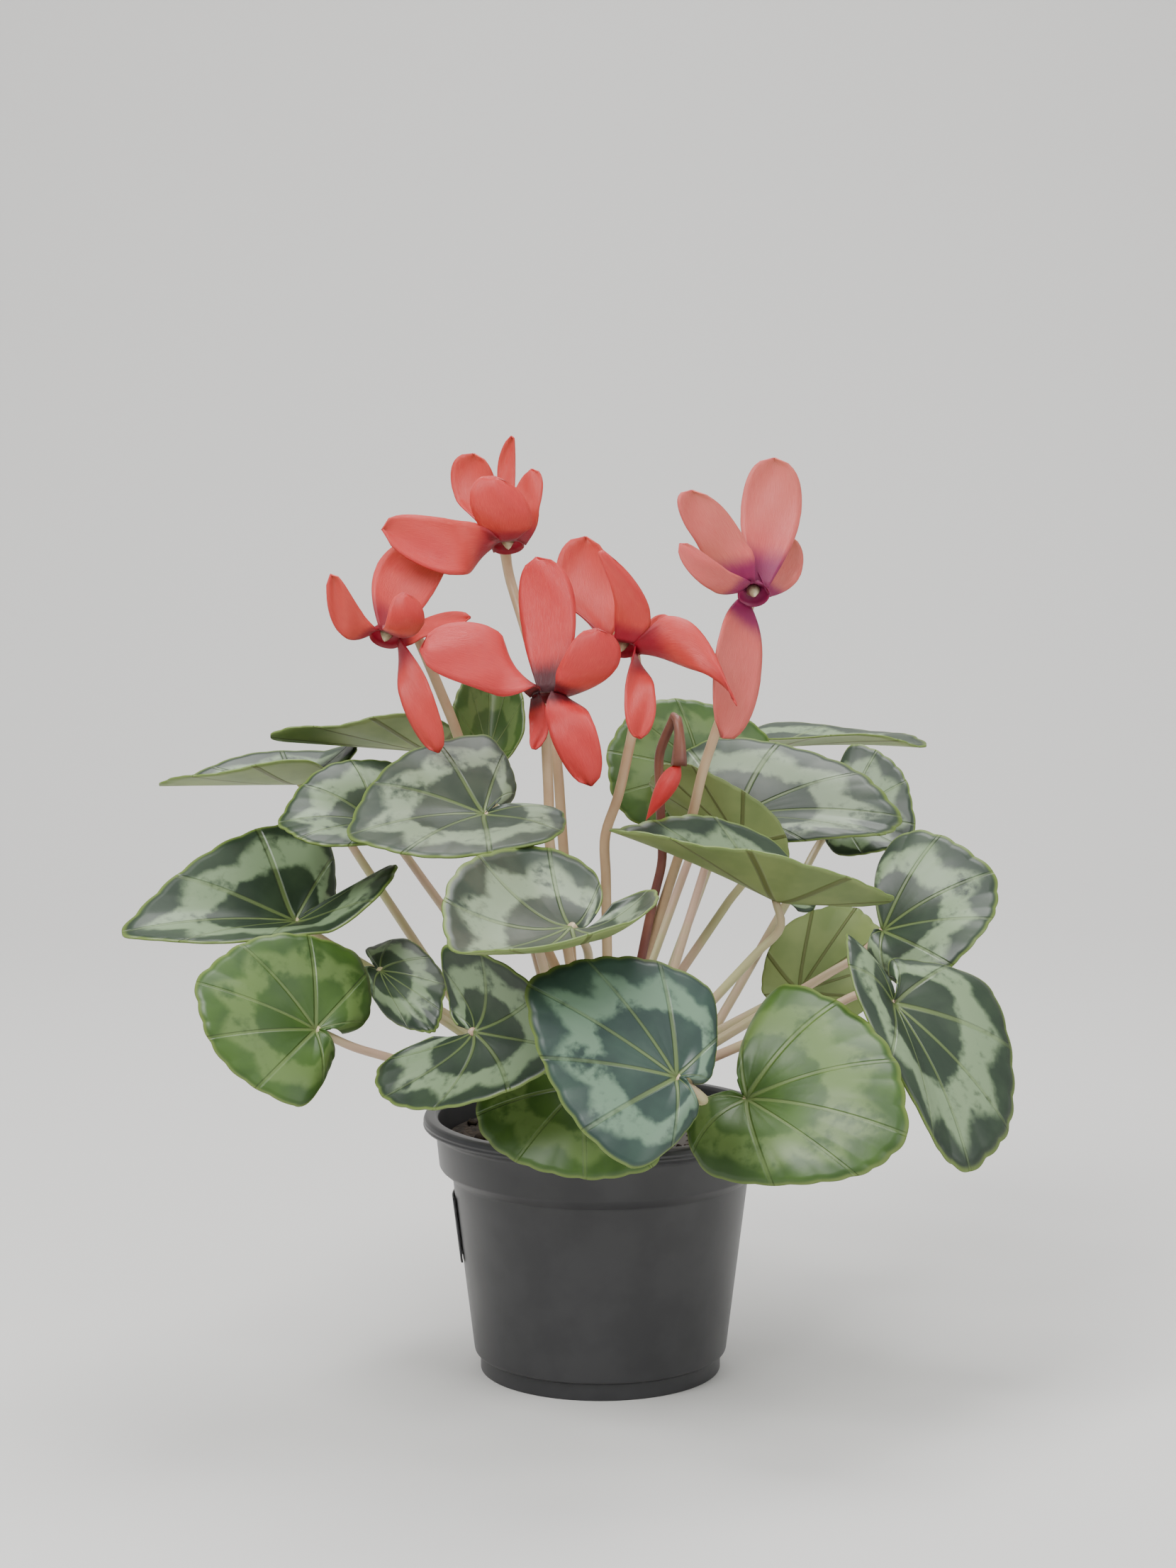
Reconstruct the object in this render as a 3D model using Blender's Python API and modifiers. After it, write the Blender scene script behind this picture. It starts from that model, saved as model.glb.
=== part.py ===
"""A potted florist's cyclamen: nursery pot, soil, tuber, leaves on their stalks, five flowers and a bud.

Metres, +Z up. The origin is under the middle of the plant's width, on the surface that the pot stands on.
Tables of places are in millimetres and are scaled by MM.
"""

import math

import bmesh
import bpy
import numpy as np
from mathutils import Vector

MM = 0.001
GAP = 0.4 * MM

# The pot, a 12 cm nursery pot. Its axis stands at POT_AXIS in the part's frame.
POT_AXIS = Vector((15.0, 0.0, 0.0)) * MM
LIP_RADIUS = 60.0 * MM
LIP_TOP = 88.0 * MM
BAND_RADIUS = 54.5 * MM
BAND_BOTTOM = 70.5 * MM
BODY_TOP_RADIUS = 50.2 * MM
BODY_BOTTOM_RADIUS = 42.6 * MM
FOOT_RADIUS = 40.8 * MM
FOOT_HEIGHT = 5.5 * MM
WALL = 1.6 * MM
SOIL_TOP = 79.0 * MM
TUBER_RADIUS = 21.0 * MM
TUBER_HEIGHT = 11.0 * MM
TUBER_CENTRE = 79.0 * MM

BLADE_THICKNESS = 0.8 * MM
STALK_RADIUS = 1.55 * MM
FLOWER_STALK_RADIUS = 1.7 * MM
PETAL_THICKNESS = 0.8 * MM
CUP_RADIUS = 5.2 * MM
CUP_DEPTH = 4.6 * MM

# One row a leaf, about the pot's axis: where the stalk meets the blade, the tip, the widest place of the left and
# of the right half, then what differs from an even leaf.
LEAVES = {
    "leaf_01": ((-101, -15, 156), (-152, -42, 157), (-93, -48, 157), (-103, 6, 187),
                dict(back=(0.5, 0.25), rear=(30, 0), bow=3, full=-0.06)),
    "leaf_02": ((-109, 30, 156), (-165, 10, 146), (-123, 36, 183), (-121, 18, 141),
                dict(back=(0.3, 0.3), bow=-2, full=-0.05)),
    "leaf_03": ((-103, 27, 197), (-146, 7, 199), (-105, -7, 208), (-101, 53, 206),
                dict(back=(0.3, 0.4), rear=(0, 8), bow=0, full=-0.05)),
    "leaf_04": ((-59, 45, 206), (-110, 26, 213), (-67, 18, 221), (-65, 76, 206), dict(bow=0, full=-0.15)),
    "leaf_05": ((-74, -6, 187), (-104, -24, 190), (-74, -34, 184), (-77, 14, 207), dict(back=(0.3, 0.4), bow=3)),
    "leaf_06": ((-38, -24, 193), (-79, -44, 189), (-25, -54, 186), (-45, -4, 217),
                dict(back=(0.5, 0.3), rear=(5, 0), bow=3)),
    "leaf_07": ((-9, -84, 166), (-42, -120, 165), (5, -116, 171), (-31, -60, 187),
                dict(back=(0.55, 0.5), rear=(12, 4), bow=-3)),
    "leaf_08": ((23, -116, 125), (-20, -110, 151), (3, -136, 105), (28, -96, 153),
                dict(back=(0.22, 0.2), bow=3, full=-0.08, stalk=(1, 0.3))),
    "leaf_09": ((-40, -76, 131), (-12, -100, 131), (-44, -78, 158), (-59, -86, 109),
                dict(back=(0.3, 0.8), bow=-2)),
    "leaf_10": ((-90, -68, 130), (-125, -76, 146), (-99, -88, 111), (-85, -50, 155),
                dict(back=(0.22, 0.4), bow=3, full=0, stalk=(1, 0.3))),
    "leaf_11": ((-7, -68, 111), (15, -86, 91), (9, -58, 113), (-33, -80, 95),
                dict(back=(0.35, 0.7), bow=3, full=0)),
    "leaf_12": ((46, -74, 109), (92, -100, 104), (66, -52, 140), (42, -96, 88),
                dict(back=(0.25, 0.35), sinus=(118, 160), bow=5, full=0)),
    "leaf_13": ((32, -32, 148), (47, -52, 126), (62, -28, 150), (18, -36, 152), dict(back=(1.0, 0.9), bow=3)),
    "leaf_14": ((96, 13, 148), (131, 8, 168), (84, 34, 177), (109, -16, 136),
                dict(back=(0.3, 0.22), sinus=(72, 160), bow=4, full=0)),
    "leaf_15": ((95, -45, 134), (116, -73, 88), (131, -29, 128), (86, -68, 132),
                dict(back=(0.3, 0.5), bow=4, full=0)),
    "leaf_17": ((48, 60, 181), (102, 44, 183), (51, 78, 206), (58, 38, 175), dict(back=(0.55, 0.3), bow=4)),
    "leaf_18": ((48, 26, 177), (21, 14, 203), (55, 20, 190), (31, 30, 178), dict(back=(0.5, 0.3), bow=0)),
    "leaf_19": ((58, -14, 163), (6, -26, 187), (60, -38, 180), (49, 2, 186),
                dict(back=(0.7, 0.3), rear=(14, 0), bow=1, full=-0.12)),
    "leaf_20": ((36, 92, 193), (4, 84, 201), (24, 80, 171), (35, 100, 218), dict(back=(0.3, 1.0), bow=2)),
    "leaf_21": ((65, 130, 198), (117, 110, 201), (74, 150, 204), (71, 104, 205), dict(back=(0.3, 0.3), bow=1)),
    "leaf_22": ((87, 72, 178), (110, 60, 178), (94, 84, 203), (87, 56, 168), dict(back=(0.3, 0.3), bow=2)),
    "leaf_24": ((-38, 18, 209), (-38, 32, 234), (-50, 16, 219), (-26, 16, 221), dict(back=(0.3, 0.3), bow=-1)),
    "leaf_27": ((-72, -30, 142), (-52, -50, 133), (-60, -20, 148), (-66, -46, 128), dict(back=(0.4, 0.4), bow=1)),
    "leaf_29": ((69, 30, 124), (97, 38, 142), (90, 24, 118), (67, 38, 147), dict(back=(0.4, 0.4), bow=-1)),
    "leaf_30": ((-30, 84, 164), (-52, 128, 158), (-62, 76, 160), (0, 100, 166), dict(bow=5)),
    "leaf_32": ((-74, 56, 130), (-112, 78, 118), (-88, 26, 126), (-58, 92, 130), dict(bow=5)),
}

# One row a flower, about the pot's axis: the middle of its mouth, the way that the mouth faces, then for each
# petal its middle, its tip and one edge at the middle.
FLOWERS = {
    "flower_1": ((-31, 18, 278), (0.1, -0.5, -0.85), [
        ((-42, 28, 295), (-43, 30, 309), (-50, 28, 297)), ((-33, 8, 290), (-35, 8, 302), (-23, 10, 288)),
        ((-32, 26, 300), (-30, 26, 315), (-35, 27, 299)), ((-25, 20, 292), (-23, 22, 304), (-20, 18, 293)),
        ((-50, 4, 279), (-72, -4, 285), (-49, 0, 270))]),
    "flower_2": ((-71, -8, 249), (-0.2, -0.6, -0.75), [
        ((-65, 0, 268), (-54, 6, 280), (-74, 0, 273)), ((-82, -14, 255), (-88, -18, 271), (-86, -14, 252)),
        ((-64, -20, 255), (-64, -20, 265), (-58, -17, 255)), ((-57, -4, 253), (-43, -4, 256), (-57, -2, 256)),
        ((-60, -20, 231), (-53, -22, 213), (-65, -18, 229))]),
    "flower_3": ((-17, -22, 231), (0.0, -0.45, -0.9), [
        ((-17, -14, 257), (-21, -8, 276), (-8, -16, 259)), ((-36, -30, 244), (-58, -36, 248), (-36, -24, 254)),
        ((-20, -28, 222), (-21, -30, 215), (-17, -28, 223)), ((-4, -28, 242), (-1, -28, 254), (5, -26, 241)),
        ((-9, -36, 222), (-3, -38, 204), (-16, -34, 220))]),
    "flower_4": ((7, -12, 246), (-0.1, -0.6, -0.8), [
        ((-4, 2, 263), (-5, 8, 282), (-14, 2, 265)), ((10, -20, 262), (1, -24, 279), (16, -17, 259)),
        ((17, -6, 251), (23, -4, 256), (19, -6, 248)), ((32, -20, 247), (43, -28, 231), (36, -24, 238)),
        ((13, -24, 231), (13, -26, 218), (18, -22, 232))]),
    "flower_5": ((51, 2, 263), (0.05, -0.8, -0.6), [
        ((57, 10, 290), (58, 14, 308), (47, 8, 291)), ((38, -6, 284), (30, -8, 298), (29, -10, 285)),
        ((37, -14, 270), (26, -18, 281), (40, -12, 273)), ((57, 12, 274), (62, 16, 283), (47, 12, 279)),
        ((46, -12, 243), (40, -14, 217), (53, -8, 236))]),
}

# Where each flower's stalk passes, from the flower down.
FLOWER_STALKS = {
    "flower_1": [(-30, 28, 264), (-23, 18, 242), (-15, 8, 212), (-14, 0, 180)],
    "flower_2": [(-60, 6, 246), (-55, 6, 234), (-47, 8, 213), (-36, 6, 180)],
    "flower_3": [(-18, -10, 219), (-17, -12, 194), (-16, -12, 176)],
    "flower_4": [(12, 0, 235), (11, -5, 220), (5, -8, 193), (1, -9, 176)],
    "flower_5": [(47, 10, 245), (44, 8, 232), (35, 4, 206), (28, 3, 180)],
    "bud": [(24, -1, 221), (20, 1, 212), (20, 2, 191), (20, 2, 168)],
}
BUD = ((26, -7, 207), (15, -11, 189))

LEAF_RINGS = 2
LEAF_SPOKES = 14
STALK_POINTS = 9


def point(p):
    """A place in the part's frame from a row of millimetres about the pot's axis."""
    return np.array(p, float) * MM + np.array(POT_AXIS)


def unit(v):
    return v / np.linalg.norm(v)


def rim(angle, back, sinus, full):
    """How far the leaf's edge is from the stalk, with the tip and both widest places at 1."""
    if angle <= math.pi / 2:
        r = 1 + full * math.sin(2 * angle) ** 2 + 0.05 * max(0.0, 1 - angle / 0.35) ** 1.5
    else:
        r = 1 / math.hypot(math.cos(angle) / back, math.sin(angle))
    t = min(1.0, max(0.0, (math.radians(sinus) - angle) / math.radians(28)))
    return r * (1 - 0.45 * (1 - t) ** 2.2)


def blade_points(at, tip, left, right, options, rings, spokes):
    """The leaf blade's surface as an array of spokes by rings, and its upward normal."""
    at, tip, left, right = (point(p) for p in (at, tip, left, right))
    ahead = tip - at
    to_left, to_right = left - at - 0.1 * ahead, right - at - 0.1 * ahead
    across, fold = (to_left - to_right) / 2, (to_left + to_right) / 2
    up = unit(np.cross(ahead, across))
    soft = 0.25
    rows = []
    for side, k in ((-1, 1), (1, 0)):
        back = options.get("back", (0.35, 0.35))[k]
        sinus = options.get("sinus", (160, 160))[k]
        rear = options.get("rear", (0, 0))[k] * MM
        angles = np.linspace(0, math.radians(sinus), spokes // 2 + 1)
        for angle in (angles[:0:-1] if side < 0 else angles):
            edge = rim(angle, back, sinus, options.get("full", 0.02))
            row = []
            for q in np.linspace(0, 1, rings + 1):
                u, v = edge * q * math.cos(angle), side * edge * q * math.sin(angle)
                s = (math.hypot(v, soft) - soft) / (math.hypot(1, soft) - soft)
                lift = rear * min(1.0, max(0.0, -u / back)) ** 1.3
                lift += options.get("bow", 2) * MM * 4 * q * (1 - q)
                lift += MM * q * q * math.sin(5 * angle * side)
                row.append(at + u * ahead + v * across + s * fold + up * lift)
            rows.append(row)
    return np.array(rows), up


def bezier(a, b, c, d, count):
    t = np.linspace(0, 1, count)[:, None]
    return (1 - t) ** 3 * a + 3 * t * (1 - t) ** 2 * b + 3 * t * t * (1 - t) * c + t ** 3 * d


def through(points, count):
    """Evenly spaced points on a smooth curve through the given ones."""
    points = np.array(points)
    ends = np.vstack([2 * points[0] - points[1], points, 2 * points[-1] - points[-2]])
    fine = []
    for i in range(1, len(ends) - 2):
        for t in np.linspace(0, 1, 12, endpoint=False):
            p0, p1, p2, p3 = ends[i - 1:i + 3]
            fine.append(0.5 * (2 * p1 + (p2 - p0) * t + (2 * p0 - 5 * p1 + 4 * p2 - p3) * t * t
                               + (3 * p1 - p0 - 3 * p2 + p3) * t ** 3))
    fine = np.array(fine + [points[-1]])
    run = np.r_[0, np.cumsum(np.linalg.norm(np.diff(fine, axis=0), axis=1))]
    marks = np.linspace(0, run[-1], count)
    return np.stack([np.interp(marks, run, fine[:, k]) for k in range(3)], axis=1)


def crown_places(ends):
    """A root place on the tuber for each stalk: flowers in the middle, then rings, in order of direction."""
    order = sorted(ends, key=lambda n: (n[:4] == "leaf", math.hypot(*(ends[n] - np.array(POT_AXIS))[:2])))
    rings = ((6, 4.6), (9, 9.2), (11, 13.4), (14, 17.4))
    places, start = {}, 0
    for count, radius in rings:
        names = order[start:start + count]
        start += count
        if not names:
            break
        heading = {n: math.atan2(*(ends[n] - np.array(POT_AXIS))[1::-1]) for n in names}
        names.sort(key=heading.get)
        first = np.mean([heading[n] - 2 * math.pi * i / len(names) for i, n in enumerate(names)])
        for i, name in enumerate(names):
            a = first + 2 * math.pi * i / len(names)
            r = radius * MM
            z = TUBER_CENTRE + TUBER_HEIGHT * math.sqrt(1 - (r / TUBER_RADIUS) ** 2)
            foot = np.array(POT_AXIS) + np.array((r * math.cos(a), r * math.sin(a), z))
            normal = unit(np.array((foot[0] - POT_AXIS.x, foot[1], (z - TUBER_CENTRE) * 3)))
            places[name] = foot + normal * (STALK_RADIUS * 0.9 + GAP), normal
    return places


def stalk_routes(blades):
    """Each stalk's centre line, root to top. They start as plain curves and push each other, and the blades
    push them, until they are clear."""
    ends, arrive, fixed_down = {}, {}, {}
    for name, (at, tip, left, right, options) in LEAVES.items():
        ends[name] = point(at)
        along, out = options.get("stalk", (0.75, 0.65))
        ahead = unit(point(tip) - point(at))
        arrive[name] = unit(along * ahead + out * blades[name][1])
    for name, places in FLOWER_STALKS.items():
        ends[name] = point(places[-1])
    feet = crown_places(ends)
    lines = {}
    for name, end in ends.items():
        foot, normal = feet[name]
        reach = np.linalg.norm(end - foot)
        if name in LEAVES:
            middle = bezier(foot, foot + normal * 0.45 * reach, end - arrive[name] * 0.35 * reach, end, STALK_POINTS)
            lines[name] = middle
        else:
            places = [point(p) for p in FLOWER_STALKS[name]][::-1]
            lines[name] = through([foot, foot + normal * 0.3 * reach] + places, STALK_POINTS + 3)
            fixed_down[name] = len(places)
    names = list(lines)
    held = {n: (2, 2 if n in LEAVES else 5) for n in names}
    clouds = {n: blades[n][0][:, 1:].reshape(-1, 3) for n in LEAVES}
    apart, clear = 4.3 * MM, 4.2 * MM
    for step in range(160):
        every = {n: np.vstack([lines[n], (lines[n][1:] + lines[n][:-1]) / 2]) for n in names}
        for n in names:
            line = lines[n]
            low, high = held[n]
            inner = slice(low, len(line) - high)
            push = np.zeros_like(line)
            others = np.vstack([every[m] for m in names if m != n])
            leaves = np.vstack([clouds[m] for m in clouds if m != n])
            for cloud, limit in ((others, apart), (leaves, clear)):
                gap = line[inner, None, :] - cloud[None]
                size = np.linalg.norm(gap, axis=2) + 1e-9
                weight = np.clip(limit - size, 0, None) / size
                push[inner] += (gap * weight[..., None]).sum(1) * 0.35
            smooth = np.zeros_like(line)
            smooth[1:-1] = (line[:-2] + line[2:]) / 2 - line[1:-1]
            push = np.clip(push, -1.2 * MM, 1.2 * MM)
            line[inner] += push[inner] + smooth[inner] * 0.25
            out = np.hypot(line[inner, 0] - POT_AXIS.x, line[inner, 1])
            floor = np.where(out > 40 * MM, LIP_TOP + 4 * MM, SOIL_TOP + 6 * MM)
            line[inner, 2] = np.maximum(line[inner, 2], floor)
    return lines


def material(name, colour, roughness, metallic=0.0):
    mat = bpy.data.materials.new(name)
    mat.use_nodes = True
    shader = mat.node_tree.nodes["Principled BSDF"]
    shader.inputs["Base Color"].default_value = (*colour, 1)
    shader.inputs["Roughness"].default_value = roughness
    shader.inputs["Metallic"].default_value = metallic
    mat.diffuse_color = (*colour, 1)
    return mat


def new_object(name, mesh, mat, group):
    ob = bpy.data.objects.new(name, mesh)
    ob.data.materials.append(mat)
    group.objects.link(ob)
    return ob


def grid_mesh(name, rows, closed_start=False):
    """A sheet through rows of points. With closed_start, all rows share their first point."""
    bm = bmesh.new()
    centre = bm.verts.new(rows[0][0]) if closed_start else None
    first = 1 if closed_start else 0
    verts = [[bm.verts.new(p) for p in row[first:]] for row in rows]
    for a, b in zip(verts, verts[1:]):
        if centre:
            bm.faces.new((centre, a[0], b[0]))
        for i in range(len(a) - 1):
            bm.faces.new((a[i], a[i + 1], b[i + 1], b[i]))
    mesh = bpy.data.meshes.new(name)
    bm.to_mesh(mesh)
    bm.free()
    return mesh


def applied(ob, weld=True):
    """The object's mesh with its modifiers, as a new mesh with outward faces, and welded doubles if asked."""
    mesh = bpy.data.meshes.new_from_object(ob.evaluated_get(bpy.context.evaluated_depsgraph_get()))
    bm = bmesh.new()
    bm.from_mesh(mesh)
    if weld:
        bmesh.ops.remove_doubles(bm, verts=bm.verts, dist=1e-6)
    bmesh.ops.recalc_face_normals(bm, faces=bm.faces)
    bm.to_mesh(mesh)
    bm.free()
    return mesh


def thickened(name, mesh, thickness, mat, group):
    ob = new_object(name, mesh, mat, group)
    solidify = ob.modifiers.new("thickness", "SOLIDIFY")
    solidify.thickness = thickness
    solidify.offset = 0
    return ob


def tube(name, points, radius, mat, group, sides=0):
    """A round stalk through points, as a mesh with closed ends."""
    curve = bpy.data.curves.new(name, "CURVE")
    curve.dimensions = "3D"
    curve.bevel_depth = radius
    curve.bevel_resolution = sides
    curve.use_fill_caps = True
    spline = curve.splines.new("POLY")
    spline.points.add(len(points) - 1)
    for target, p in zip(spline.points, points):
        target.co = (*p, 1)
    ob = bpy.data.objects.new(name, curve)
    group.objects.link(ob)
    bpy.context.view_layer.update()
    mesh = applied(ob)
    bpy.data.objects.remove(ob)
    return new_object(name, mesh, mat, group)


def turned(name, profile, mat, group, steps=32):
    """A turned shape from (radius, height) pairs, outer side first from the top down."""
    mesh = bpy.data.meshes.new(name)
    mesh.from_pydata([(r, 0, z) for r, z in profile], [(i, i + 1) for i in range(len(profile) - 1)], [])
    ob = new_object(name, mesh, mat, group)
    screw = ob.modifiers.new("turn", "SCREW")
    screw.steps = screw.render_steps = steps
    screw.use_merge_vertices = True
    screw.merge_threshold = 0.00001
    return ob


def join(ob, other):
    """Unites the other solid with ob and removes it."""
    union = ob.modifiers.new("union", "BOOLEAN")
    union.operation = "UNION"
    union.object = other
    bpy.context.view_layer.update()
    ob.data = applied(ob, weld=False)
    ob.modifiers.clear()
    bpy.data.objects.remove(other)


def cut(ob, cutter):
    difference = ob.modifiers.new("cut", "BOOLEAN")
    difference.operation = "DIFFERENCE"
    difference.object = cutter


def make_pot(group, cutters):
    """The pot: a thin wall with a rolled lip, a band under it, a floor and a foot ring cut by six notches."""
    black = material("pot_black_plastic", (0.035, 0.035, 0.037), 0.4)
    inner = WALL
    profile = [
        (LIP_RADIUS - 1.6 * MM, LIP_TOP), (LIP_RADIUS, LIP_TOP - 1.2 * MM), (LIP_RADIUS, LIP_TOP - 3.2 * MM),
        (BAND_RADIUS + 1.2 * MM, LIP_TOP - 5.2 * MM), (BAND_RADIUS, BAND_BOTTOM),
        (BODY_TOP_RADIUS, BAND_BOTTOM - 2.5 * MM), (BODY_BOTTOM_RADIUS, FOOT_HEIGHT + 2 * MM),
        (FOOT_RADIUS, FOOT_HEIGHT), (FOOT_RADIUS, 0), (FOOT_RADIUS - 2.2 * MM, 0),
        (FOOT_RADIUS - 2.2 * MM, FOOT_HEIGHT), (0, FOOT_HEIGHT), (0, FOOT_HEIGHT + inner),
        (BODY_BOTTOM_RADIUS - inner, FOOT_HEIGHT + 2 * MM + inner / 2),
        (BODY_TOP_RADIUS - inner, BAND_BOTTOM - 2.5 * MM), (BAND_RADIUS - inner, BAND_BOTTOM + 1 * MM),
        (LIP_RADIUS - 5.5 * MM, LIP_TOP - 3.2 * MM), (LIP_RADIUS - 4.6 * MM, LIP_TOP)]
    pot = turned("pot", profile + profile[:1], black, group, 32)
    pot.location = POT_AXIS
    bpy.context.view_layer.update()
    for i in range(6):
        a = math.radians(38 + 60 * i)
        bpy.ops.mesh.primitive_cube_add(size=1)
        notch = bpy.context.active_object
        notch.name = f"foot_notch_{i + 1}"
        for owner in notch.users_collection:
            owner.objects.unlink(notch)
        cutters.objects.link(notch)
        notch.dimensions = (12 * MM, 14 * MM, 5.4 * MM)
        notch.location = POT_AXIS + Vector((math.cos(a), math.sin(a), 0)) * (FOOT_RADIUS - 1.1 * MM)
        notch.rotation_euler = (0, 0, a)
        notch.hide_render = True
        notch.display_type = "WIRE"
        cut(pot, notch)
    return pot


def make_soil(group, cutters):
    """The potting soil, a plug inside the wall with a hollow that the tuber sits in."""
    soil_brown = material("soil", (0.05, 0.035, 0.022), 0.95)
    wall = WALL + GAP
    profile = [
        (0, SOIL_TOP), (30 * MM, SOIL_TOP + 0.8 * MM), (BAND_RADIUS - wall - 1 * MM, SOIL_TOP - 1 * MM),
        (BAND_RADIUS - wall - 0.4 * MM, BAND_BOTTOM + 1.6 * MM), (BODY_TOP_RADIUS - wall - 0.3 * MM, BAND_BOTTOM - 3 * MM),
        (BODY_BOTTOM_RADIUS - wall - 0.5 * MM, FOOT_HEIGHT + WALL + 2.2 * MM), (0, FOOT_HEIGHT + WALL + 1 * MM)]
    soil = turned("soil", profile, soil_brown, group, 24)
    soil.location = POT_AXIS
    bpy.ops.mesh.primitive_uv_sphere_add(segments=16, ring_count=8, radius=1)
    hollow = bpy.context.active_object
    hollow.name = "tuber_hollow"
    for owner in hollow.users_collection:
        owner.objects.unlink(hollow)
    cutters.objects.link(hollow)
    hollow.scale = (TUBER_RADIUS + GAP, TUBER_RADIUS + GAP, TUBER_HEIGHT + GAP)
    hollow.location = POT_AXIS + Vector((0, 0, TUBER_CENTRE))
    hollow.hide_render = True
    hollow.display_type = "WIRE"
    cut(soil, hollow)
    return soil


def make_tuber(group):
    corky = material("tuber_skin", (0.13, 0.08, 0.05), 0.85)
    bm = bmesh.new()
    bmesh.ops.create_uvsphere(bm, u_segments=16, v_segments=8, radius=1)
    for v in bm.verts:
        v.co = Vector((v.co.x * TUBER_RADIUS, v.co.y * TUBER_RADIUS, v.co.z * TUBER_HEIGHT))
    mesh = bpy.data.meshes.new("tuber")
    bm.to_mesh(mesh)
    bm.free()
    tuber = new_object("tuber", mesh, corky, group)
    tuber.location = POT_AXIS + Vector((0, 0, TUBER_CENTRE))
    return tuber


def make_label(group):
    """The plain care label that stands against the pot's left side."""
    plastic = material("label_plastic", (0.08, 0.08, 0.085), 0.5)
    bm = bmesh.new()
    bmesh.ops.create_cube(bm, size=1)
    for v in bm.verts:
        v.co = Vector((v.co.x * 0.8 * MM, v.co.y * 16 * MM, v.co.z * 22 * MM))
    mesh = bpy.data.meshes.new("pot_label")
    bm.to_mesh(mesh)
    bm.free()
    label = new_object("pot_label", mesh, plastic, group)
    lean = math.atan2(BODY_TOP_RADIUS - BODY_BOTTOM_RADIUS, BAND_BOTTOM - FOOT_HEIGHT)
    label.rotation_euler = (0, -lean, 0)
    label.location = POT_AXIS + Vector((-BODY_TOP_RADIUS - 0.4 * MM, 0, 49 * MM))
    return label


def is_closed(mesh):
    bm = bmesh.new()
    bm.from_mesh(mesh)
    bmesh.ops.triangulate(bm, faces=bm.faces)
    closed = all(len(e.link_faces) == 2 for e in bm.edges)
    bm.free()
    return closed


def make_leaf(name, line, blades, mat, group):
    """One leaf: a thin blade and the stalk that it grew with, as one solid."""
    rows, up = blades[name]
    for past, share in ((1.4, 1), (1.1, 0.95), (1.8, 1.05), (0.9, 0.9), (2.2, 1), (1.2, 1.1), (2.5, 0.93), (0, 1)):
        blade = thickened(name, grid_mesh(name, rows, closed_start=True), BLADE_THICKNESS, mat, group)
        bpy.context.view_layer.update()
        blade.data = applied(blade)
        blade.modifiers.clear()
        end = line[-1] + unit(rows[len(rows) // 2][1] - line[-1]) * 0.6 * MM
        points = list(line[:-1]) + [end + up * past * MM]
        join(blade, tube(name + "_stalk", points, STALK_RADIUS * share, mat, group))
        if is_closed(blade.data):
            blade.name = name
            return blade
        bpy.data.objects.remove(blade)


def petal_rows(mouth, facing, middle, tip, edge, base, rows=5):
    """A petal's surface: a strip of three points across, from its base row through its middle to its tip."""
    middle, tip, edge = point(middle), point(tip), point(edge)
    start = base[1]
    control = 2 * middle - (start + tip) / 2
    half = edge - middle
    around = base[2] - base[0]
    if np.dot(around, half) < 0:
        half = -half
    out = [base]
    for s in np.linspace(0, 1, rows)[1:]:
        centre = (1 - s) ** 2 * start + 2 * s * (1 - s) * control + s * s * tip
        broad = 0.35 + 0.65 * math.sin(math.pi / 2 * s / 0.5) if s < 0.5 else \
            math.sqrt(max(0.04, 1 - ((s - 0.5) / 0.52) ** 2.4))
        blend = min(1.0, s / 0.4)
        side = unit(unit(around) * (1 - blend) + unit(half) * blend) * np.linalg.norm(half) * broad
        normal = unit(np.cross(side, tip - start))
        out.append([centre - side, centre + normal * 0.15 * np.linalg.norm(side), centre + side])
    return out


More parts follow.
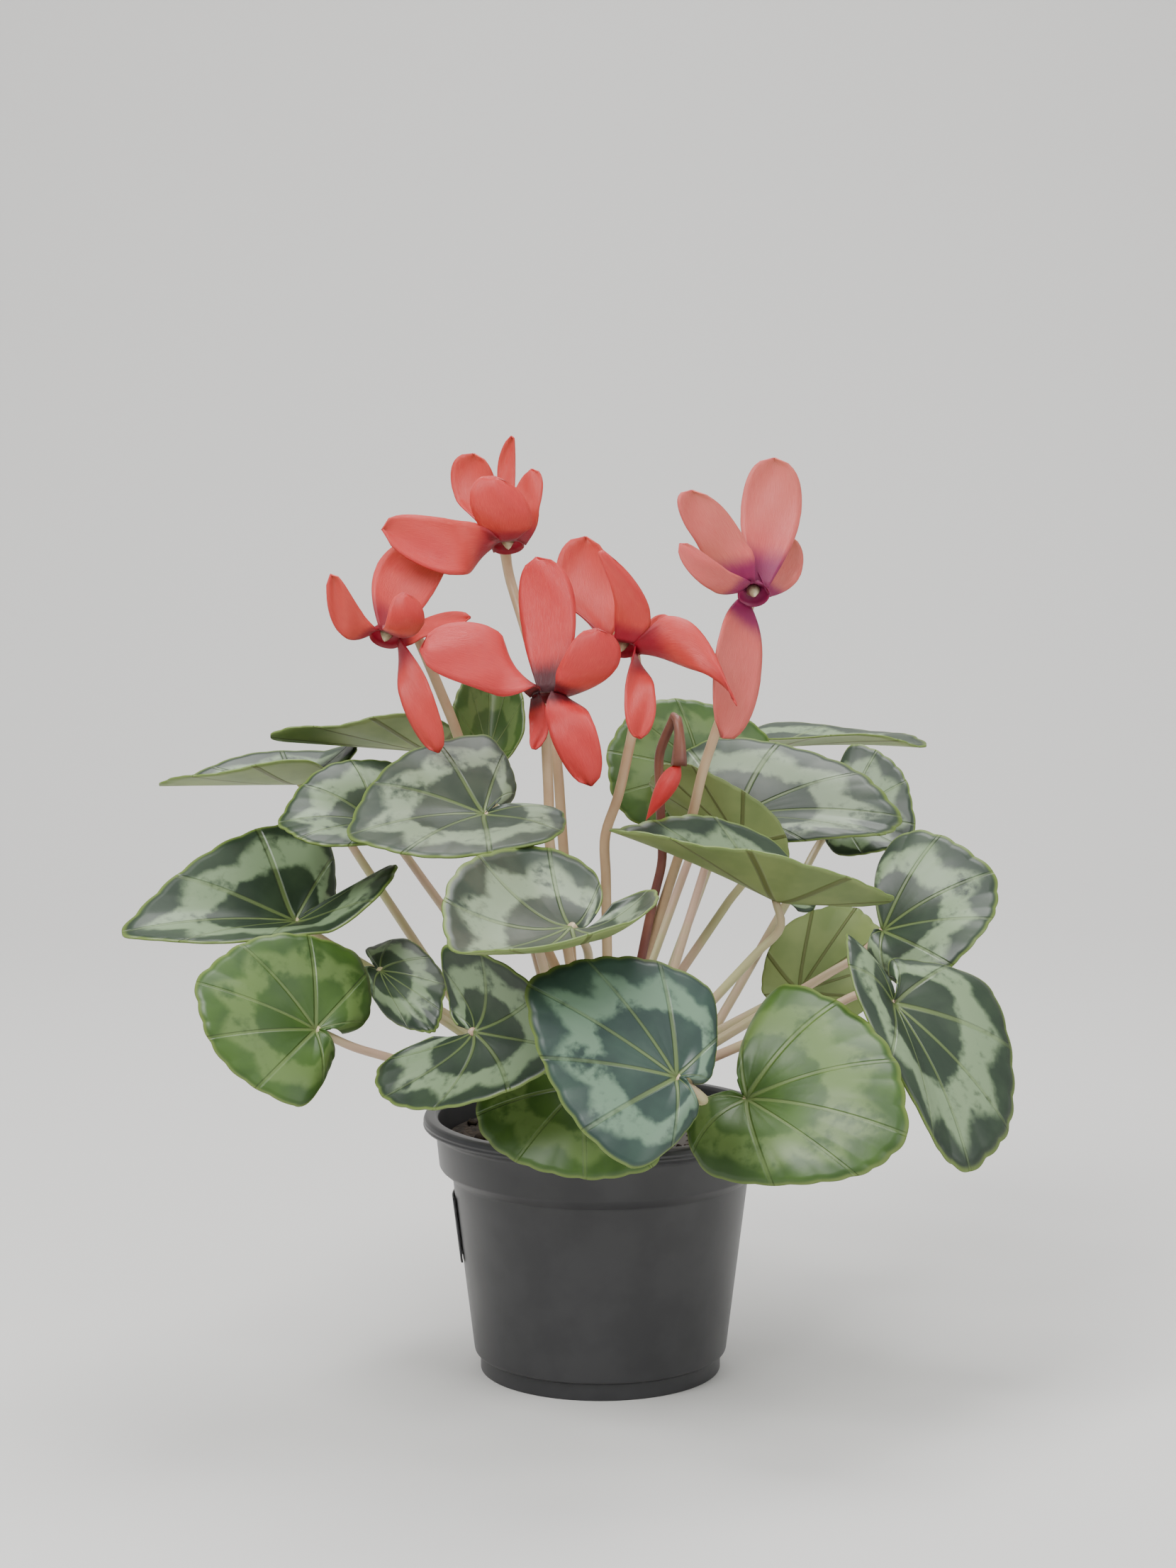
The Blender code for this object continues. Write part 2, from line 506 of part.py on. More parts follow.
def make_flower(name, mat, centre_mat, group):
    """The petals, grown together in a short cup, as one solid, and the stamens inside the cup as another."""
    mouth, facing, petals = FLOWERS[name]
    facing = unit(np.array(facing))
    middle = point(mouth)
    first = unit(np.cross(facing, (0.3, 1, 0.2)))
    second = np.cross(facing, first)

    def heading(petal):
        away = point(petal[0]) - middle
        return math.atan2(np.dot(away, second), np.dot(away, first))

    order = sorted(petals, key=heading)
    turns = [heading(p) for p in order]
    off = math.atan2(sum(math.sin(t - 2 * math.pi * i / 5) for i, t in enumerate(turns)),
                     sum(math.cos(t - 2 * math.pi * i / 5) for i, t in enumerate(turns)))
    ring, waist = [], []
    for k in range(10):
        a = off + 2 * math.pi * (k - 1) / 10
        away = math.cos(a) * first + math.sin(a) * second
        ring.append(middle + away * CUP_RADIUS)
        waist.append(middle + away * CUP_RADIUS * 0.75 - facing * CUP_DEPTH * 0.7)
    bm = bmesh.new()
    rim_verts = [bm.verts.new(p) for p in ring]
    waist_verts = [bm.verts.new(p) for p in waist]
    end = bm.verts.new(middle - facing * CUP_DEPTH)
    for k in range(10):
        j = (k + 1) % 10
        bm.faces.new((rim_verts[k], rim_verts[j], waist_verts[j], waist_verts[k]))
        bm.faces.new((waist_verts[k], waist_verts[j], end))
    for i, (centre, tip, edge) in enumerate(order):
        base = [2 * i, 2 * i + 1, (2 * i + 2) % 10]
        rows = petal_rows(mouth, facing, centre, tip, edge, [ring[k] for k in base])
        verts = [[rim_verts[k] for k in base]] + [[bm.verts.new(p) for p in row] for row in rows[1:]]
        for low, high in zip(verts, verts[1:]):
            for j in range(2):
                bm.faces.new((low[j + 1], low[j], high[j], high[j + 1]))
    mesh = bpy.data.meshes.new(name + "_petals")
    bm.to_mesh(mesh)
    bm.free()
    thickened(name + "_petals", mesh, PETAL_THICKNESS, mat, group)
    if name == "flower_3":
        return
    profile = [(0, -0.3 * MM), (0.8 * MM, -0.8 * MM), (2 * MM, -0.5 * CUP_DEPTH), (0, -0.5 * CUP_DEPTH)]
    stamens = turned(name + "_stamens", profile, centre_mat, group, 8)
    stamens.rotation_mode = "QUATERNION"
    stamens.rotation_quaternion = Vector(facing).to_track_quat("Z", "Y")
    stamens.location = middle


def make_flower_stalk(name, line, mat, group):
    """The flower's stalk, which ends against the back edge of the cup."""
    mouth = point(FLOWERS[name][0])
    top = line[-1]
    reach = mouth - top
    away = CUP_RADIUS + PETAL_THICKNESS / 2 + FLOWER_STALK_RADIUS + GAP
    end = mouth - unit(reach) * away
    points = list(line)
    if np.linalg.norm(reach) > away + 2 * MM:
        points.append(end)
    return tube(name + "_stalk", points, FLOWER_STALK_RADIUS, mat, group)


def make_bud(line, stalk_mat, bud_mat, group):
    """The young flower: a hooked stalk and a pointed, furled bud that hangs from it."""
    top, tip = (point(p) for p in BUD)
    crest = line[-1]
    hook = bezier(crest, crest + np.array((1, 0, 5)) * MM, top + np.array((1, 0, 14)) * MM,
                  top + np.array((0.8, 0, 2.2)) * MM, 6)[1:]
    tube("bud_stalk", list(line) + list(hook), FLOWER_STALK_RADIUS * 0.9, stalk_mat, group)
    length = np.linalg.norm(tip - top)
    profile = [(0, 0), (2.6 * MM, -0.12 * length), (3.3 * MM, -0.35 * length), (2.2 * MM, -0.7 * length), (0, -length)]
    bud = turned("bud", profile, bud_mat, group, 12)
    bud.rotation_mode = "QUATERNION"
    bud.rotation_quaternion = Vector(top - tip).to_track_quat("Z", "Y")
    bud.location = top
    return bud


def centre_on_origin(group):
    """Moves everything sideways together until the middle of the plant's width and depth is over the origin."""
    bpy.context.view_layer.update()
    graph = bpy.context.evaluated_depsgraph_get()
    corners = []
    for ob in group.objects:
        corners += [ob.matrix_world @ v.co for v in ob.evaluated_get(graph).data.vertices]
    corners = np.array(corners)
    middle = (corners.min(0) + corners.max(0)) / 2
    for ob in list(bpy.data.objects):
        ob.location.x -= middle[0]
        ob.location.y -= middle[1]


def main():
    for ob in list(bpy.data.objects):
        bpy.data.objects.remove(ob)
    group = bpy.data.collections.new("potted_cyclamen")
    cutters = bpy.data.collections.new("cutters")
    bpy.context.scene.collection.children.link(group)
    bpy.context.scene.collection.children.link(cutters)
    make_pot(group, cutters)
    make_soil(group, cutters)
    make_tuber(group)
    make_label(group)
    blades = {n: blade_points(*row, LEAF_RINGS, LEAF_SPOKES) for n, row in LEAVES.items()}
    lines = stalk_routes(blades)
    green = material("leaf_green", (0.06, 0.11, 0.04), 0.45)
    for name in LEAVES:
        make_leaf(name, lines[name], blades, green, group)
    red = material("petal_red", (0.75, 0.06, 0.07), 0.5)
    tan = material("flower_stalk_tan", (0.45, 0.3, 0.16), 0.55)
    cream = material("stamen_cream", (0.6, 0.5, 0.3), 0.7)
    for name in FLOWERS:
        make_flower(name, red, cream, group)
        make_flower_stalk(name, lines[name], tan, group)
    brown = material("bud_stalk_maroon", (0.2, 0.06, 0.04), 0.5)
    make_bud(lines["bud"], brown, red, group)
    centre_on_origin(group)


main()
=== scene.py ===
"""The look of a potted cyclamen: patterned leaves, coral flowers, a bud, soil and a black nursery pot."""

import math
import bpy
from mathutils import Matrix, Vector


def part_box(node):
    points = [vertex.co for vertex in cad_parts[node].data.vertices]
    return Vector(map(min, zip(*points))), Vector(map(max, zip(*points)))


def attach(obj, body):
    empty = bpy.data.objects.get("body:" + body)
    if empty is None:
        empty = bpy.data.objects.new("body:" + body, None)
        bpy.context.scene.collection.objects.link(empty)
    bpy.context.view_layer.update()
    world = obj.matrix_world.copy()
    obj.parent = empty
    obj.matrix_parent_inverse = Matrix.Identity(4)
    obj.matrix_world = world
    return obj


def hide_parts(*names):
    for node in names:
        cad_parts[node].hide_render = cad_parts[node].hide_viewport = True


bl_info = {
    "name": "Potted cyclamen",
    "version": (1, 0, 0),
    "blender": (4, 5, 0),
    "location": "View3D > Sidebar > Cyclamen",
    "description": "Builds a potted cyclamen round its packed frame",
    "category": "Object",
}

import bpy
import numpy as np
from mathutils import Vector

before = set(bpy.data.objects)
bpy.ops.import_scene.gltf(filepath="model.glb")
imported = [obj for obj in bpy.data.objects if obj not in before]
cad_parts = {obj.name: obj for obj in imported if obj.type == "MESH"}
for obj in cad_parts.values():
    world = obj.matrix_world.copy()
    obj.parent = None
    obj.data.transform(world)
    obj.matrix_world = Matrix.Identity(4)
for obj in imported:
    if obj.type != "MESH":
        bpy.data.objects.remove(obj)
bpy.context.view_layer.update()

MM = 0.001
GAP = 0.4 * MM
_low, _high = (np.array(v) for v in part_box("pot")[:2])
POT_AXIS = Vector(((_low[0] + _high[0]) / 2, (_low[1] + _high[1]) / 2, 0.0))
NODES = set(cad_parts)

LIP_RADIUS = 60.0 * MM
LIP_TOP = 88.0 * MM
BAND_RADIUS = 54.5 * MM
BAND_BOTTOM = 70.5 * MM
BODY_TOP_RADIUS = 50.2 * MM
BODY_BOTTOM_RADIUS = 42.6 * MM
FOOT_RADIUS = 40.8 * MM
FOOT_HEIGHT = 5.5 * MM
WALL = 1.6 * MM
SOIL_TOP = 79.0 * MM
TUBER_RADIUS = 21.0 * MM
TUBER_HEIGHT = 11.0 * MM
TUBER_CENTRE = 79.0 * MM
STALK_RADIUS = 1.7 * MM
CUP_RADIUS = 5.2 * MM
CUP_DEPTH = 4.6 * MM

# How coarsely the stalks' routes see the blades.
LEAF_RINGS = 2
LEAF_SPOKES = 14
STALK_POINTS = 9
ROUTE_ROUNDS = 160

# The leaf's pattern. Angles are in radians round the place where the stalk meets the blade.
VEIN_SPACING = 0.62
UPPER_VEIN_WIDTH = 0.022
LOWER_VEIN_WIDTH = 0.03
UPPER_VEIN = (0.12, 0.17, 0.05)
LOWER_VEIN = (0.11, 0.13, 0.03)
LEAF_EDGE = (0.13, 0.19, 0.04)
TEETH_PER_RADIAN = 14
TEETH_DEPTH = 0.016

# Soil, label and stage.
SOIL_RINGS = 60
SOIL_STEPS = 160
SOIL_LUMP = 0.45 * MM
SOIL_SEED = 7
LABEL_LOW = 38.0 * MM
LABEL_HIGH = 60.0 * MM
LABEL_HALF_ANGLE = math.radians(10)
CAMERA_PLACE = Vector((0.0, -1.1, 0.3367))
CAMERA_TILT = math.radians(82.91)
CAMERA_LENS = 76.15
CAMERA_SHIFT = -0.0079
AIM = Vector((0.0, 0.0, 0.15))

# One row a leaf, about the pot's axis: where the stalk meets the blade, the tip, the widest place of the left and
# of the right half, then what differs from an even leaf.
LEAVES = {
    "leaf_01": ((-101, -15, 156), (-152, -42, 157), (-93, -48, 157), (-103, 6, 187),
                dict(back=(0.5, 0.25), rear=(30, 0), bow=3, full=-0.06)),
    "leaf_02": ((-109, 30, 156), (-165, 10, 146), (-123, 36, 183), (-121, 18, 141),
                dict(back=(0.3, 0.3), bow=-2, full=-0.05)),
    "leaf_03": ((-103, 27, 197), (-146, 7, 199), (-105, -7, 208), (-101, 53, 206),
                dict(back=(0.3, 0.4), rear=(0, 8), bow=0, full=-0.05)),
    "leaf_04": ((-59, 45, 206), (-110, 26, 213), (-67, 18, 221), (-65, 76, 206), dict(bow=0, full=-0.15)),
    "leaf_05": ((-74, -6, 187), (-104, -24, 190), (-74, -34, 184), (-77, 14, 207), dict(back=(0.3, 0.4), bow=3)),
    "leaf_06": ((-38, -24, 193), (-79, -44, 189), (-25, -54, 186), (-45, -4, 217),
                dict(back=(0.5, 0.3), rear=(5, 0), bow=3)),
    "leaf_07": ((-9, -84, 166), (-42, -120, 165), (5, -116, 171), (-31, -60, 187),
                dict(back=(0.55, 0.5), rear=(12, 4), bow=-3)),
    "leaf_08": ((23, -116, 125), (-20, -110, 151), (3, -136, 105), (28, -96, 153),
                dict(back=(0.22, 0.2), bow=3, full=-0.08, stalk=(1, 0.3))),
    "leaf_09": ((-40, -76, 131), (-12, -100, 131), (-44, -78, 158), (-59, -86, 109),
                dict(back=(0.3, 0.8), bow=-2)),
    "leaf_10": ((-90, -68, 130), (-125, -76, 146), (-99, -88, 111), (-85, -50, 155),
                dict(back=(0.22, 0.4), bow=3, full=0, stalk=(1, 0.3))),
    "leaf_11": ((-7, -68, 111), (15, -86, 91), (9, -58, 113), (-33, -80, 95),
                dict(back=(0.35, 0.7), bow=3, full=0)),
    "leaf_12": ((46, -74, 109), (92, -100, 104), (66, -52, 140), (42, -96, 88),
                dict(back=(0.25, 0.35), sinus=(118, 160), bow=5, full=0)),
    "leaf_13": ((32, -32, 148), (47, -52, 126), (62, -28, 150), (18, -36, 152), dict(back=(1.0, 0.9), bow=3)),
    "leaf_14": ((96, 13, 148), (131, 8, 168), (84, 34, 177), (109, -16, 136),
                dict(back=(0.3, 0.22), sinus=(72, 160), bow=4, full=0)),
    "leaf_15": ((95, -45, 134), (116, -73, 88), (131, -29, 128), (86, -68, 132),
                dict(back=(0.3, 0.5), bow=4, full=0)),
    "leaf_17": ((48, 60, 181), (102, 44, 183), (51, 78, 206), (58, 38, 175), dict(back=(0.55, 0.3), bow=4)),
    "leaf_18": ((48, 26, 177), (21, 14, 203), (55, 20, 190), (31, 30, 178), dict(back=(0.5, 0.3), bow=0)),
    "leaf_19": ((58, -14, 163), (6, -26, 187), (60, -38, 180), (49, 2, 186),
                dict(back=(0.7, 0.3), rear=(14, 0), bow=1, full=-0.12)),
    "leaf_20": ((36, 92, 193), (4, 84, 201), (24, 80, 171), (35, 100, 218), dict(back=(0.3, 1.0), bow=2)),
    "leaf_21": ((65, 130, 198), (117, 110, 201), (74, 150, 204), (71, 104, 205), dict(back=(0.3, 0.3), bow=1)),
    "leaf_22": ((87, 72, 178), (110, 60, 178), (94, 84, 203), (87, 56, 168), dict(back=(0.3, 0.3), bow=2)),
    "leaf_24": ((-38, 18, 209), (-38, 32, 234), (-50, 16, 219), (-26, 16, 221), dict(back=(0.3, 0.3), bow=-1)),
    "leaf_27": ((-72, -30, 142), (-52, -50, 133), (-60, -20, 148), (-66, -46, 128), dict(back=(0.4, 0.4), bow=1)),
    "leaf_29": ((69, 30, 124), (97, 38, 142), (90, 24, 118), (67, 38, 147), dict(back=(0.4, 0.4), bow=-1)),
    "leaf_30": ((-30, 84, 164), (-52, 128, 158), (-62, 76, 160), (0, 100, 166), dict(bow=5)),
    "leaf_32": ((-74, 56, 130), (-112, 78, 118), (-88, 26, 126), (-58, 92, 130), dict(bow=5)),
}

# One row a flower, about the pot's axis: the middle of its mouth, the way that the mouth faces, then for each
# petal its middle, its tip and one edge at the middle.
FLOWERS = {
    "flower_1": ((-31, 18, 278), (0.1, -0.5, -0.85), [
        ((-42, 28, 295), (-43, 30, 309), (-50, 28, 297)), ((-33, 8, 290), (-35, 8, 302), (-23, 10, 288)),
        ((-32, 26, 300), (-30, 26, 315), (-35, 27, 299)), ((-25, 20, 292), (-23, 22, 304), (-20, 18, 293)),
        ((-50, 4, 279), (-72, -4, 285), (-49, 0, 270))]),
    "flower_2": ((-71, -8, 249), (-0.2, -0.6, -0.75), [
        ((-65, 0, 268), (-54, 6, 280), (-74, 0, 273)), ((-82, -14, 255), (-88, -18, 271), (-86, -14, 252)),
        ((-64, -20, 255), (-64, -20, 265), (-58, -17, 255)), ((-57, -4, 253), (-43, -4, 256), (-57, -2, 256)),
        ((-60, -20, 231), (-53, -22, 213), (-65, -18, 229))]),
    "flower_3": ((-17, -22, 231), (0.0, -0.45, -0.9), [
        ((-17, -14, 257), (-21, -8, 276), (-8, -16, 259)), ((-36, -30, 244), (-58, -36, 248), (-36, -24, 254)),
        ((-20, -28, 222), (-21, -30, 215), (-17, -28, 223)), ((-4, -28, 242), (-1, -28, 254), (5, -26, 241)),
        ((-9, -36, 222), (-3, -38, 204), (-16, -34, 220))]),
    "flower_4": ((7, -12, 246), (-0.1, -0.6, -0.8), [
        ((-4, 2, 263), (-5, 8, 282), (-14, 2, 265)), ((10, -20, 262), (1, -24, 279), (16, -17, 259)),
        ((17, -6, 251), (23, -4, 256), (19, -6, 248)), ((32, -20, 247), (43, -28, 231), (36, -24, 238)),
        ((13, -24, 231), (13, -26, 218), (18, -22, 232))]),
    "flower_5": ((51, 2, 263), (0.05, -0.8, -0.6), [
        ((57, 10, 290), (58, 14, 308), (47, 8, 291)), ((38, -6, 284), (30, -8, 298), (29, -10, 285)),
        ((37, -14, 270), (26, -18, 281), (40, -12, 273)), ((57, 12, 274), (62, 16, 283), (47, 12, 279)),
        ((46, -12, 243), (40, -14, 217), (53, -8, 236))]),
}

# Where each flower's stalk passes, from the flower down.
FLOWER_STALKS = {
    "flower_1": [(-30, 28, 264), (-23, 18, 242), (-15, 8, 212), (-14, 0, 180)],
    "flower_2": [(-60, 6, 246), (-55, 6, 234), (-47, 8, 213), (-36, 6, 180)],
    "flower_3": [(-18, -10, 219), (-17, -12, 194), (-16, -12, 176)],
    "flower_4": [(12, 0, 235), (11, -5, 220), (5, -8, 193), (1, -9, 176)],
    "flower_5": [(47, 10, 245), (44, 8, 232), (35, 4, 206), (28, 3, 180)],
    "bud": [(24, -1, 221), (20, 1, 212), (20, 2, 191), (20, 2, 168)],
}
BUD = ((26, -7, 207), (15, -11, 189))


def point(p):
    """A place in the part's frame from a row of millimetres about the pot's axis."""
    return np.array(p, float) * MM + np.array(POT_AXIS)


def unit(v):
    return v / np.linalg.norm(v)


def rim(angle, back, sinus, full):
    """How far the leaf's edge is from the stalk, with the tip and both widest places at 1."""
    if angle <= math.pi / 2:
        r = 1 + full * math.sin(2 * angle) ** 2 + 0.05 * max(0.0, 1 - angle / 0.35) ** 1.5
    else:
        r = 1 / math.hypot(math.cos(angle) / back, math.sin(angle))
    t = min(1.0, max(0.0, (math.radians(sinus) - angle) / math.radians(28)))
    return r * (1 - 0.45 * (1 - t) ** 2.2)


def blade_points(at, tip, left, right, options, rings, spokes, teeth=0.0):
    """The leaf blade's surface as an array of spokes by rings, and its upward normal."""
    at, tip, left, right = (point(p) for p in (at, tip, left, right))
    ahead = tip - at
    to_left, to_right = left - at - 0.1 * ahead, right - at - 0.1 * ahead
    across, fold = (to_left - to_right) / 2, (to_left + to_right) / 2
    up = unit(np.cross(ahead, across))
    soft = 0.25
    rows = []
    for side, k in ((-1, 1), (1, 0)):
        back = options.get("back", (0.35, 0.35))[k]
        sinus = options.get("sinus", (160, 160))[k]
        rear = options.get("rear", (0, 0))[k] * MM
        angles = np.linspace(0, math.radians(sinus), spokes // 2 + 1)
        for angle in (angles[:0:-1] if side < 0 else angles):
            edge = rim(angle, back, sinus, options.get("full", 0.02))
            edge *= 1 + teeth * abs(math.sin(angle * TEETH_PER_RADIAN))
            row = []
            for q in np.linspace(0, 1, rings + 1):
                u, v = edge * q * math.cos(angle), side * edge * q * math.sin(angle)
                s = (math.hypot(v, soft) - soft) / (math.hypot(1, soft) - soft)
                lift = rear * min(1.0, max(0.0, -u / back)) ** 1.3
                lift += options.get("bow", 2) * MM * 4 * q * (1 - q)
                lift += MM * q * q * math.sin(5 * angle * side)
                row.append(at + u * ahead + v * across + s * fold + up * lift)
            rows.append(row)
    return np.array(rows), up


def bezier(a, b, c, d, count):
    t = np.linspace(0, 1, count)[:, None]
    return (1 - t) ** 3 * a + 3 * t * (1 - t) ** 2 * b + 3 * t * t * (1 - t) * c + t ** 3 * d


def through(points, count):
    """Evenly spaced points on a smooth curve through the given ones."""
    points = np.array(points)
    ends = np.vstack([2 * points[0] - points[1], points, 2 * points[-1] - points[-2]])
    fine = []
    for i in range(1, len(ends) - 2):
        for t in np.linspace(0, 1, 12, endpoint=False):
            p0, p1, p2, p3 = ends[i - 1:i + 3]
            fine.append(0.5 * (2 * p1 + (p2 - p0) * t + (2 * p0 - 5 * p1 + 4 * p2 - p3) * t * t
                               + (3 * p1 - p0 - 3 * p2 + p3) * t ** 3))
    fine = np.array(fine + [points[-1]])
    run = np.r_[0, np.cumsum(np.linalg.norm(np.diff(fine, axis=0), axis=1))]
    marks = np.linspace(0, run[-1], count)
    return np.stack([np.interp(marks, run, fine[:, k]) for k in range(3)], axis=1)


def crown_places(ends):
    """A root place on the tuber for each stalk: flowers in the middle, then rings, in order of direction."""
    order = sorted(ends, key=lambda n: (n[:4] == "leaf", math.hypot(*(ends[n] - np.array(POT_AXIS))[:2])))
    rings = ((6, 4.6), (9, 9.2), (11, 13.4), (14, 17.4))
    places, start = {}, 0
    for count, radius in rings:
        names = order[start:start + count]
        start += count
        if not names:
            break
        heading = {n: math.atan2(*(ends[n] - np.array(POT_AXIS))[1::-1]) for n in names}
        names.sort(key=heading.get)
        first = np.mean([heading[n] - 2 * math.pi * i / len(names) for i, n in enumerate(names)])
        for i, name in enumerate(names):
            a = first + 2 * math.pi * i / len(names)
            r = radius * MM
            z = TUBER_CENTRE + TUBER_HEIGHT * math.sqrt(1 - (r / TUBER_RADIUS) ** 2)
            foot = np.array(POT_AXIS) + np.array((r * math.cos(a), r * math.sin(a), z))
            normal = unit(np.array((foot[0] - POT_AXIS.x, foot[1], (z - TUBER_CENTRE) * 3)))
            places[name] = foot + normal * (STALK_RADIUS * 0.9 + GAP), normal
    return places


def stalk_routes(blades):
    """Each stalk's centre line, root to top. They start as plain curves and push each other, and the blades
    push them, until they are clear."""
    ends, arrive = {}, {}
    for name, (at, tip, _, _, options) in LEAVES.items():
        ends[name] = point(at)
        along, out = options.get("stalk", (0.75, 0.65))
        ahead = unit(point(tip) - point(at))
        arrive[name] = unit(along * ahead + out * blades[name][1])
    for name, places in FLOWER_STALKS.items():
        ends[name] = point(places[-1])
    feet = crown_places(ends)
    lines = {}
    for name, end in ends.items():
        foot, normal = feet[name]
        reach = np.linalg.norm(end - foot)
        if name in LEAVES:
            out, back = foot + normal * 0.45 * reach, end - arrive[name] * 0.35 * reach
            lines[name] = bezier(foot, out, back, end, STALK_POINTS)
        else:
            places = [point(p) for p in FLOWER_STALKS[name]][::-1]
            lines[name] = through([foot, foot + normal * 0.3 * reach] + places, STALK_POINTS + 3)
    names = list(lines)
    held = {n: (2, 2 if n in LEAVES else 5) for n in names}
    clouds = {n: blades[n][0][:, 1:].reshape(-1, 3) for n in LEAVES}
    apart, clear = 4.3 * MM, 4.2 * MM
    for _ in range(ROUTE_ROUNDS):
        every = {n: np.vstack([lines[n], (lines[n][1:] + lines[n][:-1]) / 2]) for n in names}
        for n in names:
            line = lines[n]
            low, high = held[n]
            inner = slice(low, len(line) - high)
            push = np.zeros_like(line)
            others = np.vstack([every[m] for m in names if m != n])
            leaves = np.vstack([clouds[m] for m in clouds if m != n])
            for cloud, limit in ((others, apart), (leaves, clear)):
                gap = line[inner, None, :] - cloud[None]
                size = np.linalg.norm(gap, axis=2) + 1e-9
                weight = np.clip(limit - size, 0, None) / size
                push[inner] += (gap * weight[..., None]).sum(1) * 0.35
            smooth = np.zeros_like(line)
            smooth[1:-1] = (line[:-2] + line[2:]) / 2 - line[1:-1]
            push = np.clip(push, -1.2 * MM, 1.2 * MM)
            line[inner] += push[inner] + smooth[inner] * 0.25
            out = np.hypot(line[inner, 0] - POT_AXIS.x, line[inner, 1])
            floor = np.where(out > 40 * MM, LIP_TOP + 4 * MM, SOIL_TOP + 6 * MM)
            line[inner, 2] = np.maximum(line[inner, 2], floor)
    return lines


class Value:
    """A shader number. Arithmetic on it adds the Math nodes that work it out."""

    def __init__(self, look, socket):
        self.look, self.socket = look, socket

    def math(self, operation, *inputs):
        node = self.look.node("ShaderNodeMath", {"operation": operation}, dict(enumerate(inputs)))
        return Value(self.look, node.outputs[0])

    def __add__(self, other):
        return self.math("ADD", self, other)

    def __radd__(self, other):
        return self.math("ADD", other, self)

    def __sub__(self, other):
        return self.math("SUBTRACT", self, other)

    def __rsub__(self, other):
        return self.math("SUBTRACT", other, self)

    def __mul__(self, other):
        return self.math("MULTIPLY", self, other)

    def __rmul__(self, other):
        return self.math("MULTIPLY", other, self)

    def __abs__(self):
        return self.math("ABSOLUTE", self)

    def nearest_whole(self):
        return self.math("ROUND", self)

    def at_least(self, floor):
        return self.math("MAXIMUM", self, floor)

    def step(self, low, high):
        """0 below low, 1 above high, smooth between."""
        node = self.look.node(
            "ShaderNodeMapRange",
            {"interpolation_type": "SMOOTHSTEP"},
            {"Value": self, "From Min": low, "From Max": high},
        )
        return Value(self.look, node.outputs["Result"])


class Look:
    """One material with a Principled shader, and the patterns that feed it."""

    MIX_FIRST, MIX_SECOND, MIX_COLOUR = 6, 7, 2

    def __init__(self, name, roughness=0.5, subsurface=0.0):
        self.mat = bpy.data.materials.new(name)
        self.mat.use_nodes = True
        self.tree = self.mat.node_tree
        self.shader = self.tree.nodes["Principled BSDF"]
        self.shader.inputs["Roughness"].default_value = roughness
        self.shader.inputs["Subsurface Weight"].default_value = subsurface

    def node(self, kind, settings, inputs):
        """Adds a node, sets it, and gives each input its number, colour or link."""
        node = self.tree.nodes.new(kind)
        for key, item in settings.items():
            setattr(node, key, item)
        for key, item in inputs.items():
            if isinstance(item, Value):
                item = item.socket
            if isinstance(item, bpy.types.NodeSocket):
                self.tree.links.new(item, node.inputs[key])
            else:
                node.inputs[key].default_value = item
        return node

    def place(self):
        """The two numbers of the piece's own pattern map."""
        uv = self.node("ShaderNodeUVMap", {"uv_map": "UVMap"}, {})
        split = self.node("ShaderNodeSeparateXYZ", {}, {0: uv.outputs["UV"]})
        return Value(self, split.outputs["X"]), Value(self, split.outputs["Y"])

    def noise(self, scale, detail=3.0, stretch=(1, 1, 1), on="Object"):
        start = self.node("ShaderNodeTexCoord", {}, {})
        move = self.node("ShaderNodeMapping", {}, {"Scale": stretch, "Vector": start.outputs[on]})
        node = self.node(
            "ShaderNodeTexNoise", {}, {"Scale": scale, "Detail": detail, "Vector": move.outputs["Vector"]}
        )
        return Value(self, node.outputs["Fac"])

    def mix(self, amount, first, second):
        """From the first colour at 0 to the second at 1. Each is three numbers or another mix."""
        first, second = ((*c, 1) if isinstance(c, tuple) else c for c in (first, second))
        inputs = {"Factor": amount, self.MIX_FIRST: first, self.MIX_SECOND: second}
        return self.node("ShaderNodeMix", {"data_type": "RGBA"}, inputs).outputs[self.MIX_COLOUR]

    def colour(self, item):
        if isinstance(item, tuple):
            self.shader.inputs["Base Color"].default_value = (*item, 1)
        else:
            self.tree.links.new(item, self.shader.inputs["Base Color"])

    def bump(self, height, strength, distance):
        node = self.node("ShaderNodeBump", {}, {"Strength": strength, "Distance": distance, "Height": height})
        self.tree.links.new(node.outputs["Normal"], self.shader.inputs["Normal"])


def vein_lines(radius, turn, width):
    """1 on the main veins, which run out from the stalk, and how far each place is from one, 0 to 0.5."""
    steps = turn * (math.pi / VEIN_SPACING)
    away = abs(steps.nearest_whole() - steps)
    across = away * VEIN_SPACING * radius
    return 1 - across.step(width * 0.4, width), away


def leaf_look(name, dark, mid, silver, band=1.0):
    """The leaf's upper side: dark green, a silver band that is feathered outwards, and pale veins."""
    look = Look(name, roughness=0.42)
    radius, turn = look.place()
    rough = look.noise(70, 4)
    fine = look.noise(320, 3)
    veins, away = vein_lines(radius, turn, UPPER_VEIN_WIDTH)
    ripple = radius + (rough - 0.5) * 0.16 + (fine - 0.5) * 0.1
    inner = ripple.step(0.5, 0.57)
    outer = 1 - (ripple + away * 0.34 - 0.05).step(0.8, 0.9)
    patchy = (rough * 0.6 + fine * 0.5 + away * 0.3).step(0.4, 0.62)
    green = look.mix(rough.step(0.35, 0.7), dark, mid)
    silvered = look.mix(inner * outer * patchy * band, green, silver)
    fading = (radius * -0.8 + 0.9).at_least(0.25)
    veined = look.mix(veins * fading, silvered, UPPER_VEIN)
    look.colour(look.mix(radius.step(0.965, 0.995), veined, LEAF_EDGE))
    look.bump(rough * 0.5 - veins, 0.5, 1.2 * MM)
    return look.mat


